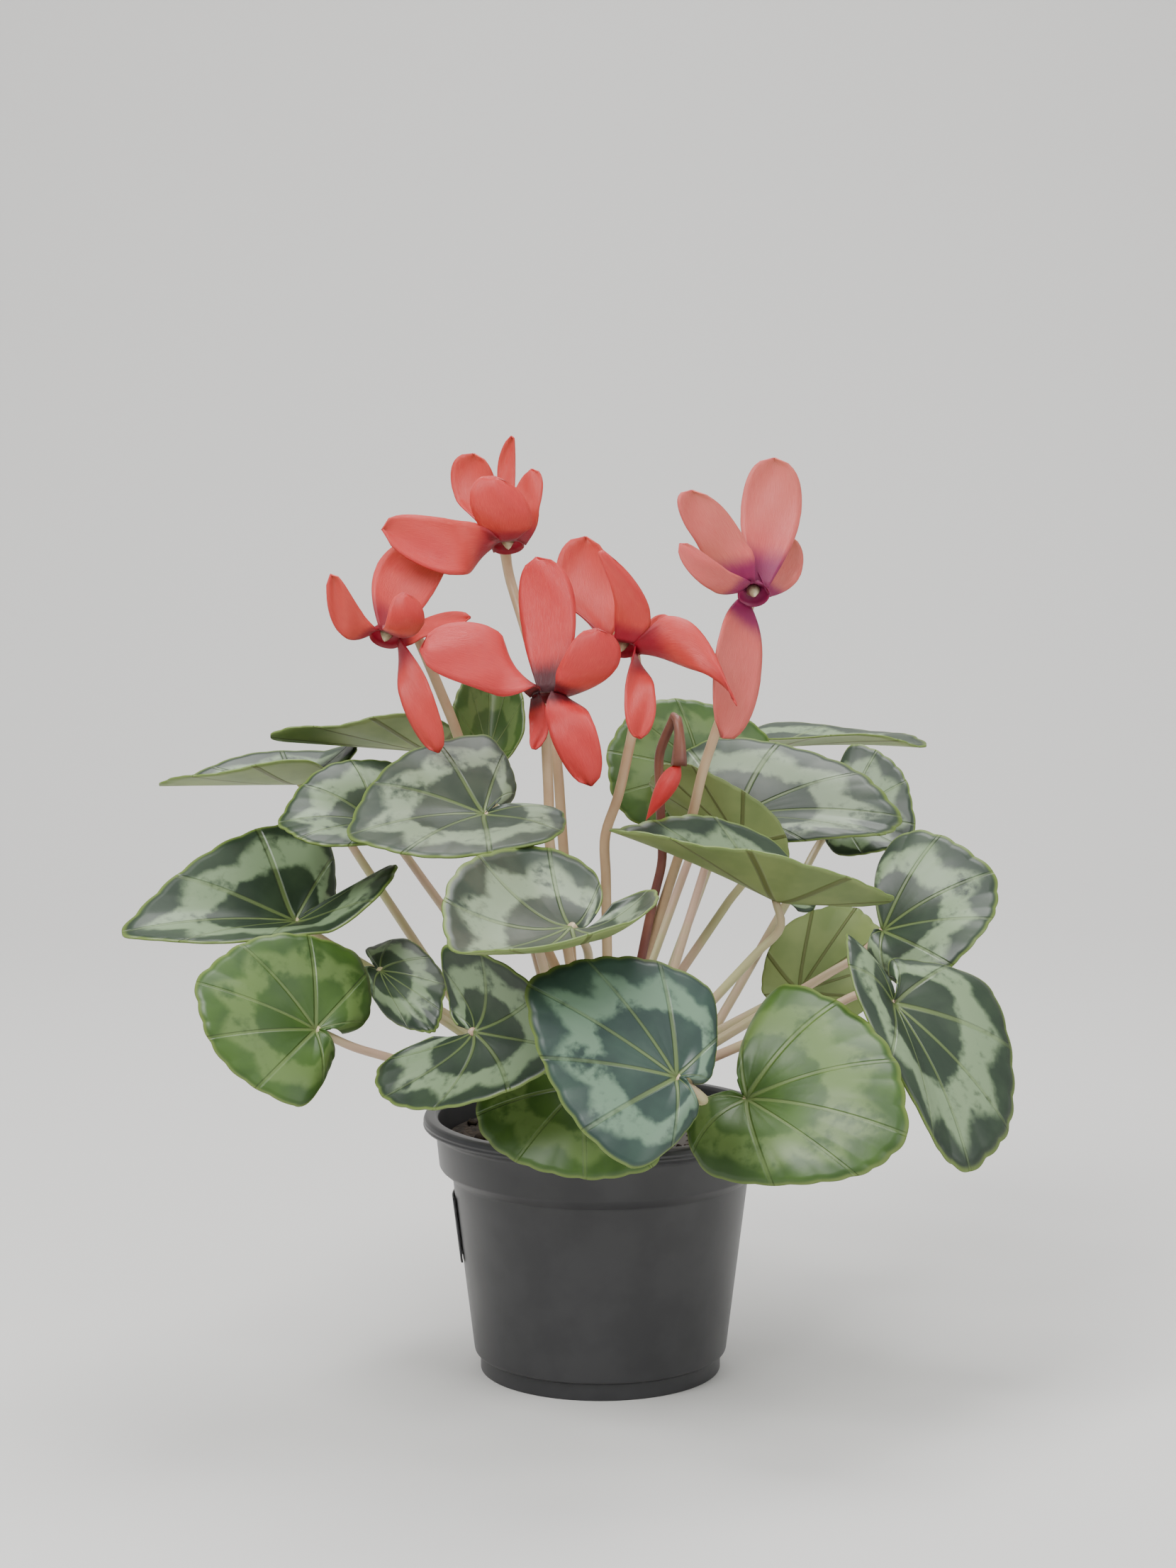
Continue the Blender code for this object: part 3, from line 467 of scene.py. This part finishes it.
def underside_look(name):
    """The leaf's pale lower side, where the veins are darker and stand out."""
    look = Look(name, roughness=0.55)
    radius, turn = look.place()
    veins, _ = vein_lines(radius, turn, LOWER_VEIN_WIDTH)
    pale = look.mix(look.noise(60).step(0.3, 0.7), (0.15, 0.21, 0.06), (0.22, 0.28, 0.09))
    look.colour(look.mix(veins, pale, LOWER_VEIN))
    look.bump(veins, 0.6, 1 * MM)
    return look.mat


def petal_look(name, main, pale, deep, reach):
    """A petal: its main colour with lengthwise streaks, and a deeper base as far up as reach."""
    look = Look(name, roughness=0.45, subsurface=0.12)
    along, _ = look.place()
    streak = look.noise(9, 4, (1.0, 9.0, 1.0), on="UV")
    body = look.mix(streak.step(0.35, 0.7), main, pale)
    base = 1 - (along + (streak - 0.5) * 0.12).step(reach * 0.4, reach)
    look.colour(look.mix(base, body, deep))
    look.bump(streak, 0.35, 0.8 * MM)
    return look.mat


def grained_look(name, colour, other, roughness, scale, strength=0.3, depth=0.6 * MM):
    """Two near colours in a fine grain, slightly raised."""
    look = Look(name, roughness=roughness)
    grain = look.noise(scale, 5)
    look.colour(look.mix(grain.step(0.35, 0.65), colour, other))
    look.bump(grain, strength, depth)
    return look.mat


def sheet_piece(name, points, places=None, materials=()):
    """A grid primitive whose vertices are put on the given points, with a place on the pattern for each."""
    points = np.asarray(points, float)
    rows, columns = points.shape[:2]
    bpy.ops.object.select_all(action="DESELECT")
    bpy.ops.mesh.primitive_grid_add(x_subdivisions=columns - 1, y_subdivisions=rows - 1, size=2)
    piece = bpy.context.active_object
    piece.name = piece.data.name = name
    mesh = piece.data
    mesh.vertices.foreach_set("co", points.reshape(-1))
    if places is not None:
        places = np.asarray(places, float).reshape(-1, 2)
        index = np.zeros(len(mesh.loops), int)
        mesh.loops.foreach_get("vertex_index", index)
        mesh.uv_layers.active.data.foreach_set("uv", places[index].reshape(-1))
    mesh.polygons.foreach_set("use_smooth", [True] * len(mesh.polygons))
    for mat in materials:
        mesh.materials.append(mat)
    mesh.update()
    return piece


def apply_modifier(piece, kind, **settings):
    modifier = piece.modifiers.new(kind.lower(), kind)
    for key, item in settings.items():
        setattr(modifier, key, item)
    bpy.context.view_layer.objects.active = piece
    bpy.ops.object.modifier_apply(modifier=modifier.name)


def tube_points(points, radii, sides=12):
    """Rings of points round a centre line, without twist. The two ends close to a point."""
    points = np.asarray(points, float)
    radii = np.broadcast_to(radii, len(points)).copy()
    ahead = np.gradient(points, axis=0)
    ahead /= np.linalg.norm(ahead, axis=1)[:, None]
    side = unit(np.cross(ahead[0], (0.31, 0.84, 0.44)))
    rings = []
    for p, d, r in zip(points, ahead, radii):
        side = unit(side - d * np.dot(side, d))
        other = np.cross(d, side)
        turn = np.linspace(0, 2 * math.pi, sides + 1)[:, None]
        rings.append(p + r * (np.cos(turn) * side + np.sin(turn) * other))
    first = np.repeat(points[:1], sides + 1, axis=0)
    last = np.repeat(points[-1:], sides + 1, axis=0)
    return np.array([first, *rings, last])[:, ::-1]


def turned_points(profile, centre, turn_to=None, steps=96):
    """Rings of points round an upright axis, or round one turned to point along turn_to."""
    rings = []
    a = np.linspace(0, 2 * math.pi, steps + 1)
    for r, z in profile:
        rings.append(np.stack([r * np.cos(a), r * np.sin(a), np.full_like(a, z)], axis=1))
    rings = np.array(rings)
    if turn_to is not None:
        spin = np.array(Vector(turn_to).to_track_quat("Z", "Y").to_matrix())
        rings = rings @ spin.T
    return rings + np.asarray(centre)


def settle(piece, slot, *nodes):
    """Ties a piece to the plant's one body and hides the frame's solids that it stands for."""
    piece.data.validate()
    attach(piece, "root")
    known = [n for n in nodes if n in NODES]
    if known:
        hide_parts(*known)


LINES = stalk_routes({n: blade_points(*row, LEAF_RINGS, LEAF_SPOKES) for n, row in LEAVES.items()})


class CyclamenSettings(bpy.types.PropertyGroup):
    """The sizes and numbers that can be changed before the pieces are built."""

    leaf_rings: bpy.props.IntProperty(
        name="Leaf rings", description="Rings of faces in a leaf blade", default=14, min=4, max=40
    )
    leaf_spokes: bpy.props.IntProperty(
        name="Leaf spokes", description="Spokes of faces in a leaf blade", default=260, min=24, max=600
    )
    leaf_thickness: bpy.props.FloatProperty(
        name="Leaf thickness", description="Thickness of a blade",
        default=0.0007, min=0.0002, max=0.002, unit="LENGTH",
    )
    petal_thickness: bpy.props.FloatProperty(
        name="Petal thickness", description="Thickness of a petal",
        default=0.0005, min=0.0002, max=0.002, unit="LENGTH",
    )
    stalk_radius: bpy.props.FloatProperty(
        name="Stalk radius", description="Radius of a leaf stalk",
        default=0.0017, min=0.0005, max=0.004, unit="LENGTH",
    )
    crumbs: bpy.props.IntProperty(
        name="Soil crumbs", description="Number of loose crumbs on the soil", default=26, min=0, max=200
    )
    lamp_power: bpy.props.FloatProperty(
        name="Lamp power", description="Power of the main lamp", default=38.0, min=0.0, max=500.0, unit="POWER"
    )


class BuildLeaves(bpy.types.Operator):
    """Build every leaf blade and its stalk."""

    bl_idname = "cyclamen.leaves"
    bl_label = "Leaves"

    def execute(self, context):
        settings = context.scene.cyclamen
        looks = {
            "dark": leaf_look("leaf_dark", (0.012, 0.026, 0.012), (0.024, 0.044, 0.02), (0.17, 0.24, 0.13)),
            "grey": leaf_look("leaf_grey", (0.022, 0.038, 0.022), (0.045, 0.062, 0.038), (0.2, 0.26, 0.16)),
            "bright": leaf_look(
                "leaf_bright", (0.026, 0.066, 0.007), (0.045, 0.1, 0.011), (0.13, 0.2, 0.055), band=0.6
            ),
            "blue": leaf_look("leaf_blue", (0.013, 0.034, 0.026), (0.026, 0.058, 0.04), (0.12, 0.2, 0.13)),
        }
        kinds = {"leaf_08": "blue"}
        kinds.update(dict.fromkeys(("leaf_10", "leaf_11", "leaf_12", "leaf_20", "leaf_24"), "bright"))
        kinds.update(dict.fromkeys(("leaf_04", "leaf_06", "leaf_07", "leaf_17"), "grey"))
        below = underside_look("leaf_underside")
        stalk_look = grained_look("leaf_stalk", (0.42, 0.4, 0.2), (0.5, 0.33, 0.24), 0.4, 40)
        rings, spokes = settings.leaf_rings, settings.leaf_spokes
        for name, row in LEAVES.items():
            # A row with no solid is not built, but its blade and stalk still take their room in stalk_routes.
            if name not in NODES:
                continue
            points, _ = blade_points(*row, rings, spokes, teeth=TEETH_DEPTH)
            options = row[4]
            sinus = options.get("sinus", (160, 160))
            left = np.linspace(0, math.radians(sinus[0]), spokes // 2 + 1)
            right = np.linspace(0, math.radians(sinus[1]), spokes // 2 + 1)
            angles = np.concatenate([-right[:0:-1], left]) / math.pi
            q = np.linspace(0, 1, rings + 1)
            places = np.stack(np.broadcast_arrays(q[None, :], angles[:, None]), axis=2)
            piece = sheet_piece(name + "_blade", points, places, [looks[kinds.get(name, "dark")], below])
            apply_modifier(piece, "SOLIDIFY", thickness=settings.leaf_thickness, offset=-1, material_offset=1)
            settle(piece, "leaf", name)
            line = through(LINES[name], 40)
            radii = np.linspace(1.1, 0.8, 40) * settings.stalk_radius
            stalk = sheet_piece(name + "_leafstalk", tube_points(line, radii), None, [stalk_look])
            settle(stalk, "leaf")
        return {"FINISHED"}


def petal_surface(mouth, facing, middle, tip, edge, rows=22, across=10):
    """A petal's points, on a curve from the mouth through its middle to its tip, and their pattern places."""
    mouth, middle, tip, edge = point(mouth), point(middle), point(tip), point(edge)
    away = middle - mouth
    away = unit(away - facing * np.dot(away, facing))
    base = mouth + away * (CUP_RADIUS - 0.4 * MM)
    control = 2 * middle - (base + tip) / 2
    half = edge - middle
    around = unit(np.cross(facing, away))
    if np.dot(around, half) < 0:
        around = -around
    wide = np.linalg.norm(half)
    out, places = [], []
    for s in np.linspace(0, 1, rows):
        centre = (1 - s) ** 2 * base + 2 * s * (1 - s) * control + s * s * tip
        grow = 0.65 * math.sin(math.pi / 2 * min(1, s / 0.5))
        broad = 3.2 * MM * max(0, 1 - s / 0.4) / wide + 0.35 * min(1, s / 0.4) + grow
        if s >= 0.5:
            broad = math.sqrt(max(0.0, 1 - ((s - 0.5) / 0.5) ** 2.4)) + 0.02
        blend = min(1.0, s / 0.4)
        side = unit(around * (1 - blend) + unit(half) * blend) * wide * broad
        normal = unit(np.cross(side, tip - base))
        row = []
        for t in np.linspace(-1, 1, across + 1):
            cup = (1 - t * t) * 0.14 * np.linalg.norm(side)
            crimp = 0.5 * MM * math.sin(9 * s + 4 * t) * s
            row.append(centre + side * t + normal * (cup + crimp))
            places.append((s, t))
        out.append(row)
    return np.array(out), np.array(places)


class BuildFlowers(bpy.types.Operator):
    """Build the five flowers' petals, cups, stalks and stamens, and the bud."""

    bl_idname = "cyclamen.flowers"
    bl_label = "Flowers"

    def execute(self, context):
        settings = context.scene.cyclamen
        coral = petal_look("petal_coral", (0.5, 0.014, 0.016), (0.6, 0.035, 0.03), (0.24, 0.002, 0.012), 0.3)
        pink = petal_look("petal_pink", (0.55, 0.055, 0.055), (0.62, 0.1, 0.09), (0.2, 0.006, 0.06), 0.3)
        # A darker copy of the coral for flower_3: its darker body and near-black base are painted shade. A deeper base
        # is the petal's own colour, as in the coral.
        dark = petal_look(
            "petal_coral_painted_shade", (0.46, 0.01, 0.014), (0.56, 0.028, 0.026), (0.05, 0.002, 0.006), 0.24
        )
        tan = grained_look("flower_stalk_skin", (0.42, 0.27, 0.15), (0.52, 0.38, 0.22), 0.42, 50)
        maroon = grained_look("bud_stalk_skin", (0.14, 0.04, 0.03), (0.25, 0.1, 0.06), 0.42, 50)
        cream = grained_look("stamen_dust", (0.6, 0.5, 0.28), (0.72, 0.64, 0.42), 0.8, 900)
        for name, (mouth, facing, petals) in FLOWERS.items():
            facing = unit(np.array(facing))
            centre = point(mouth)
            # flower_3 takes the coral copy with painted shade.
            mat = {"flower_5": pink, "flower_3": dark}.get(name, coral)
            for i, petal in enumerate(petals):
                points, places = petal_surface(mouth, facing, *petal)
                piece = sheet_piece(f"{name}_petal_{i + 1}", points, places, [mat])
                apply_modifier(piece, "SOLIDIFY", thickness=settings.petal_thickness, offset=0)
                settle(piece, "petal", *([name + "_petals"] if i == 0 else []))
            cup = [
                (CUP_RADIUS, 0), (CUP_RADIUS * 0.97, -0.4 * CUP_DEPTH),
                (CUP_RADIUS * 0.75, -0.8 * CUP_DEPTH), (0, -CUP_DEPTH),
            ]
            points = turned_points(cup, centre, facing, 32)
            places = np.zeros((*points.shape[:2], 2))
            piece = sheet_piece(name + "_cup", points, places, [mat])
            apply_modifier(piece, "SOLIDIFY", thickness=settings.petal_thickness, offset=0)
            settle(piece, "petal")
            if name + "_stamens" in NODES:
                cone = [(0, 1.0 * MM), (0.9 * MM, 0.1 * MM), (2.3 * MM, -0.5 * CUP_DEPTH), (0, -0.55 * CUP_DEPTH)]
                piece = sheet_piece(name + "_cone", turned_points(cone, centre, facing, 24), None, [cream])
                settle(piece, "stamens", name + "_stamens")
            line = LINES[name]
            back = centre - facing * CUP_DEPTH
            crest = back - facing * 4 * MM
            top = line[-1]
            onward = top + unit(top - line[-2]) * 0.6 * np.linalg.norm(crest - top)
            hook = bezier(top, onward, crest - facing * 2.5 * MM, back, 10)[1:]
            path = through(np.vstack([line, hook]), 70)
            radii = np.full(70, 1.75 * MM)
            radii[-6:] = np.linspace(1.9, 3.6, 6) * MM
            piece = sheet_piece(name + "_flowerstalk", tube_points(path, radii), None, [tan])
            settle(piece, "flower_stalk", name + "_stalk")
        top, tip = (point(p) for p in BUD)
        crest = LINES["bud"][-1]
        hook = bezier(crest, crest + np.array((1, 0, 5)) * MM, top + np.array((1, 0, 14)) * MM, top, 10)[1:]
        path = through(np.vstack([LINES["bud"], hook]), 60)
        radii = np.full(60, 1.6 * MM)
        radii[-5:] = np.linspace(1.7, 2.8, 5) * MM
        piece = sheet_piece("bud_stem", tube_points(path, radii), None, [maroon])
        settle(piece, "bud_stalk", "bud_stalk")
        s = np.linspace(0, 1, 20)
        radii = 3.4 * MM * np.sin(np.pi * np.clip(s, 0.02, 0.995) ** 0.62)
        path = top + (tip - top) * s[:, None]
        points = tube_points(path, radii, 20)
        along, across = np.linspace(0.3, 1, len(points)), np.linspace(-1, 1, 21)
        places = np.stack(np.broadcast_arrays(along[:, None], across[None]), axis=2)
        piece = sheet_piece("bud_furled", points, places, [coral])
        settle(piece, "petal", "bud")
        return {"FINISHED"}


class BuildPot(bpy.types.Operator):
    """Build the turned nursery pot with its ridged lip, and its label."""

    bl_idname = "cyclamen.pot"
    bl_label = "Pot"

    def execute(self, context):
        black = grained_look("pot_black", (0.022, 0.022, 0.024), (0.03, 0.03, 0.032), 0.38, 60, 0.15, 0.0003)
        profile = [
            (0, FOOT_HEIGHT), (FOOT_RADIUS - 2.2 * MM, FOOT_HEIGHT), (FOOT_RADIUS - 2.2 * MM, 0), (FOOT_RADIUS, 0),
            (FOOT_RADIUS, FOOT_HEIGHT), (BODY_BOTTOM_RADIUS, FOOT_HEIGHT + 1 * MM),
            (BODY_BOTTOM_RADIUS + 0.3 * MM, FOOT_HEIGHT + 2 * MM), (BODY_TOP_RADIUS - 0.2 * MM, BAND_BOTTOM - 4.5 * MM),
            (BODY_TOP_RADIUS, BAND_BOTTOM - 3.6 * MM), (BAND_RADIUS - 0.5 * MM, BAND_BOTTOM - 0.4 * MM),
            (BAND_RADIUS, BAND_BOTTOM + 0.4 * MM), (BAND_RADIUS + 1.1 * MM, LIP_TOP - 6.4 * MM),
            (BAND_RADIUS + 2.0 * MM, LIP_TOP - 5.2 * MM), (LIP_RADIUS - 0.4 * MM, LIP_TOP - 3.8 * MM),
            (LIP_RADIUS, LIP_TOP - 3.2 * MM), (LIP_RADIUS - 0.3 * MM, LIP_TOP - 2.5 * MM),
            (LIP_RADIUS - 0.1 * MM, LIP_TOP - 1.9 * MM), (LIP_RADIUS - 0.4 * MM, LIP_TOP - 1.2 * MM),
            (LIP_RADIUS - 0.5 * MM, LIP_TOP - 0.6 * MM), (LIP_RADIUS - 1.4 * MM, LIP_TOP),
            (LIP_RADIUS - 4.2 * MM, LIP_TOP), (LIP_RADIUS - 5.2 * MM, LIP_TOP - 1 * MM),
            (BAND_RADIUS - WALL, BAND_BOTTOM + 1 * MM), (BODY_TOP_RADIUS - WALL, BAND_BOTTOM - 2.5 * MM),
            (BODY_BOTTOM_RADIUS - WALL, FOOT_HEIGHT + 3 * MM), (0, FOOT_HEIGHT + WALL)]
        points = turned_points(profile, np.array(POT_AXIS), None, 160)
        piece = sheet_piece("pot_turned", points, None, [black])
        apply_modifier(piece, "BEVEL", width=0.0003, segments=2, limit_method="ANGLE")
        settle(piece, "pot_plastic", "pot")
        card = grained_look("label_dark", (0.04, 0.04, 0.043), (0.06, 0.06, 0.063), 0.45, 90, 0.1, 0.0002)
        turn = np.linspace(math.pi - LABEL_HALF_ANGLE, math.pi + LABEL_HALF_ANGLE, 9)
        rows = []
        for z in np.linspace(LABEL_LOW, LABEL_HIGH, 9):
            share = (z - FOOT_HEIGHT) / (BAND_BOTTOM - 2.5 * MM - FOOT_HEIGHT)
            r = BODY_BOTTOM_RADIUS + (BODY_TOP_RADIUS - BODY_BOTTOM_RADIUS) * share + 0.8 * MM
            rows.append(np.stack([r * np.cos(turn), r * np.sin(turn), np.full_like(turn, z)], axis=1))
        piece = sheet_piece("label_card", np.array(rows) + np.array(POT_AXIS), None, [card])
        apply_modifier(piece, "SOLIDIFY", thickness=0.0006, offset=0)
        settle(piece, "label_plastic", "pot_label")
        return {"FINISHED"}


class BuildSoil(bpy.types.Operator):
    """Build the crumbly soil surface and the tuber's corky top."""

    bl_idname = "cyclamen.soil"
    bl_label = "Soil and tuber"

    def execute(self, context):
        settings = context.scene.cyclamen
        rng = np.random.default_rng(SOIL_SEED)
        dark = grained_look("soil_dark", (0.012, 0.008, 0.006), (0.05, 0.033, 0.022), 0.95, 260, 1.0, 0.002)
        rings, steps = SOIL_RINGS, SOIL_STEPS
        radius = BAND_RADIUS - WALL - GAP
        a = np.linspace(0, 2 * math.pi, steps + 1)
        points = np.zeros((rings, steps + 1, 3))
        for i, r in enumerate(np.linspace(0, 1, rings)):
            lump = rng.normal(0, 1, steps) * SOIL_LUMP * min(1, 6 * (1 - r)) * min(1, 4 * r)
            lump = np.append(lump, lump[0])
            points[i] = np.stack([r * radius * np.cos(a), r * radius * np.sin(a), SOIL_TOP + 0.2 * MM + lump], axis=1)
        points += np.array(POT_AXIS)
        piece = sheet_piece("soil_surface", points[::-1], None, [dark])
        settle(piece, "soil")
        s = np.linspace(0, math.pi / 2, 14)
        profile = [(TUBER_RADIUS * math.sin(v), TUBER_HEIGHT * math.cos(v)) for v in s[::-1]]
        cork = grained_look("tuber_cork", (0.05, 0.03, 0.018), (0.12, 0.075, 0.045), 0.9, 180, 0.9, 0.0015)
        middle = np.array(POT_AXIS) + (0, 0, TUBER_CENTRE + 0.2 * MM)
        piece = sheet_piece("tuber_top", turned_points(profile, middle), None, [cork])
        settle(piece, "tuber_skin")
        for i in range(settings.crumbs):
            rows = []
            at = rng.uniform(24, 49) * MM
            turn = rng.uniform(0, 2 * math.pi)
            centre = np.array(POT_AXIS) + (at * math.cos(turn), at * math.sin(turn), SOIL_TOP + 0.8 * MM)
            size = rng.uniform(0.8, 2.2) * MM
            for v in np.linspace(0, math.pi, 7):
                u = np.linspace(0, 2 * math.pi, 9)
                ring = np.stack([np.sin(v) * np.cos(u), np.sin(v) * np.sin(u), np.full(9, -math.cos(v) * 0.7)], axis=1)
                wobble = rng.uniform(0.8, 1.2, 9)
                wobble[-1] = wobble[0]
                rows.append(centre + ring * size * wobble[:, None])
            piece = sheet_piece(f"soil_crumb_{i + 1}", rows, None, [dark])
            settle(piece, "soil")
        return {"FINISHED"}


class BuildStage(bpy.types.Operator):
    """Set the floor, the lights and the camera."""

    bl_idname = "cyclamen.stage"
    bl_label = "Stage"

    def execute(self, context):
        settings = context.scene.cyclamen
        bpy.ops.object.select_all(action="DESELECT")
        bpy.ops.mesh.primitive_grid_add(x_subdivisions=40, y_subdivisions=40, size=2)
        floor = context.active_object
        floor.name = "floor"
        for v in floor.data.vertices:
            x, y = v.co.x * 3.0, v.co.y * 2.2
            rise = max(0.0, y - 0.9)
            v.co = (x, min(y, 0.9 + 0.7 * math.sin(min(1.0, rise) * math.pi / 2)), 0.9 * rise * rise)
        floor.data.polygons.foreach_set("use_smooth", [True] * len(floor.data.polygons))
        pale = Look("stage_pale", roughness=0.8)
        pale.colour((0.62, 0.61, 0.59))
        floor.data.materials.append(pale.mat)
        world = bpy.data.worlds.new("soft_room")
        world.use_nodes = True
        world.node_tree.nodes["Background"].inputs["Color"].default_value = (0.95, 0.97, 1.0, 1)
        world.node_tree.nodes["Background"].inputs["Strength"].default_value = 0.55
        context.scene.world = world
        for name, spot, size, power in (("key", (-0.7, -0.9, 1.5), 0.9, 1.0), ("fill", (1.3, -1.0, 0.9), 1.2, 0.35),
                                        ("top", (0.2, 0.5, 1.7), 1.0, 0.7)):
            data = bpy.data.lights.new(name, "AREA")
            data.size = size
            data.energy = settings.lamp_power * power
            lamp = bpy.data.objects.new(name, data)
            lamp.location = Vector(spot)
            lamp.rotation_euler = (AIM - lamp.location).to_track_quat("-Z", "Y").to_euler()
            context.scene.collection.objects.link(lamp)
        data = bpy.data.cameras.new("camera")
        data.sensor_width = 36
        data.lens = CAMERA_LENS
        data.shift_x = CAMERA_SHIFT
        camera = bpy.data.objects.new("camera", data)
        camera.location = POT_AXIS + CAMERA_PLACE
        camera.rotation_euler = (CAMERA_TILT, 0, 0)
        context.scene.collection.objects.link(camera)
        context.scene.camera = camera
        return {"FINISHED"}


class CyclamenPanel(bpy.types.Panel):
    """Lists the settings and one button for each group of pieces."""

    bl_idname = "VIEW3D_PT_cyclamen"
    bl_label = "Potted cyclamen"
    bl_space_type = "VIEW_3D"
    bl_region_type = "UI"
    bl_category = "Cyclamen"

    def draw(self, context):
        for name in CyclamenSettings.__annotations__:
            self.layout.prop(context.scene.cyclamen, name)
        for operator in OPERATORS:
            self.layout.operator(operator.bl_idname)


OPERATORS = (BuildLeaves, BuildFlowers, BuildPot, BuildSoil, BuildStage)
CLASSES = (CyclamenSettings, *OPERATORS, CyclamenPanel)


def register():
    for cls in CLASSES:
        bpy.utils.register_class(cls)
    bpy.types.Scene.cyclamen = bpy.props.PointerProperty(type=CyclamenSettings)


def unregister():
    del bpy.types.Scene.cyclamen
    for cls in reversed(CLASSES):
        bpy.utils.unregister_class(cls)


def main():
    register()
    bpy.ops.cyclamen.leaves()
    bpy.ops.cyclamen.flowers()
    bpy.ops.cyclamen.pot()
    bpy.ops.cyclamen.soil()
    bpy.ops.cyclamen.stage()
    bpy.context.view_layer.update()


if __name__ == "__main__":
    main()
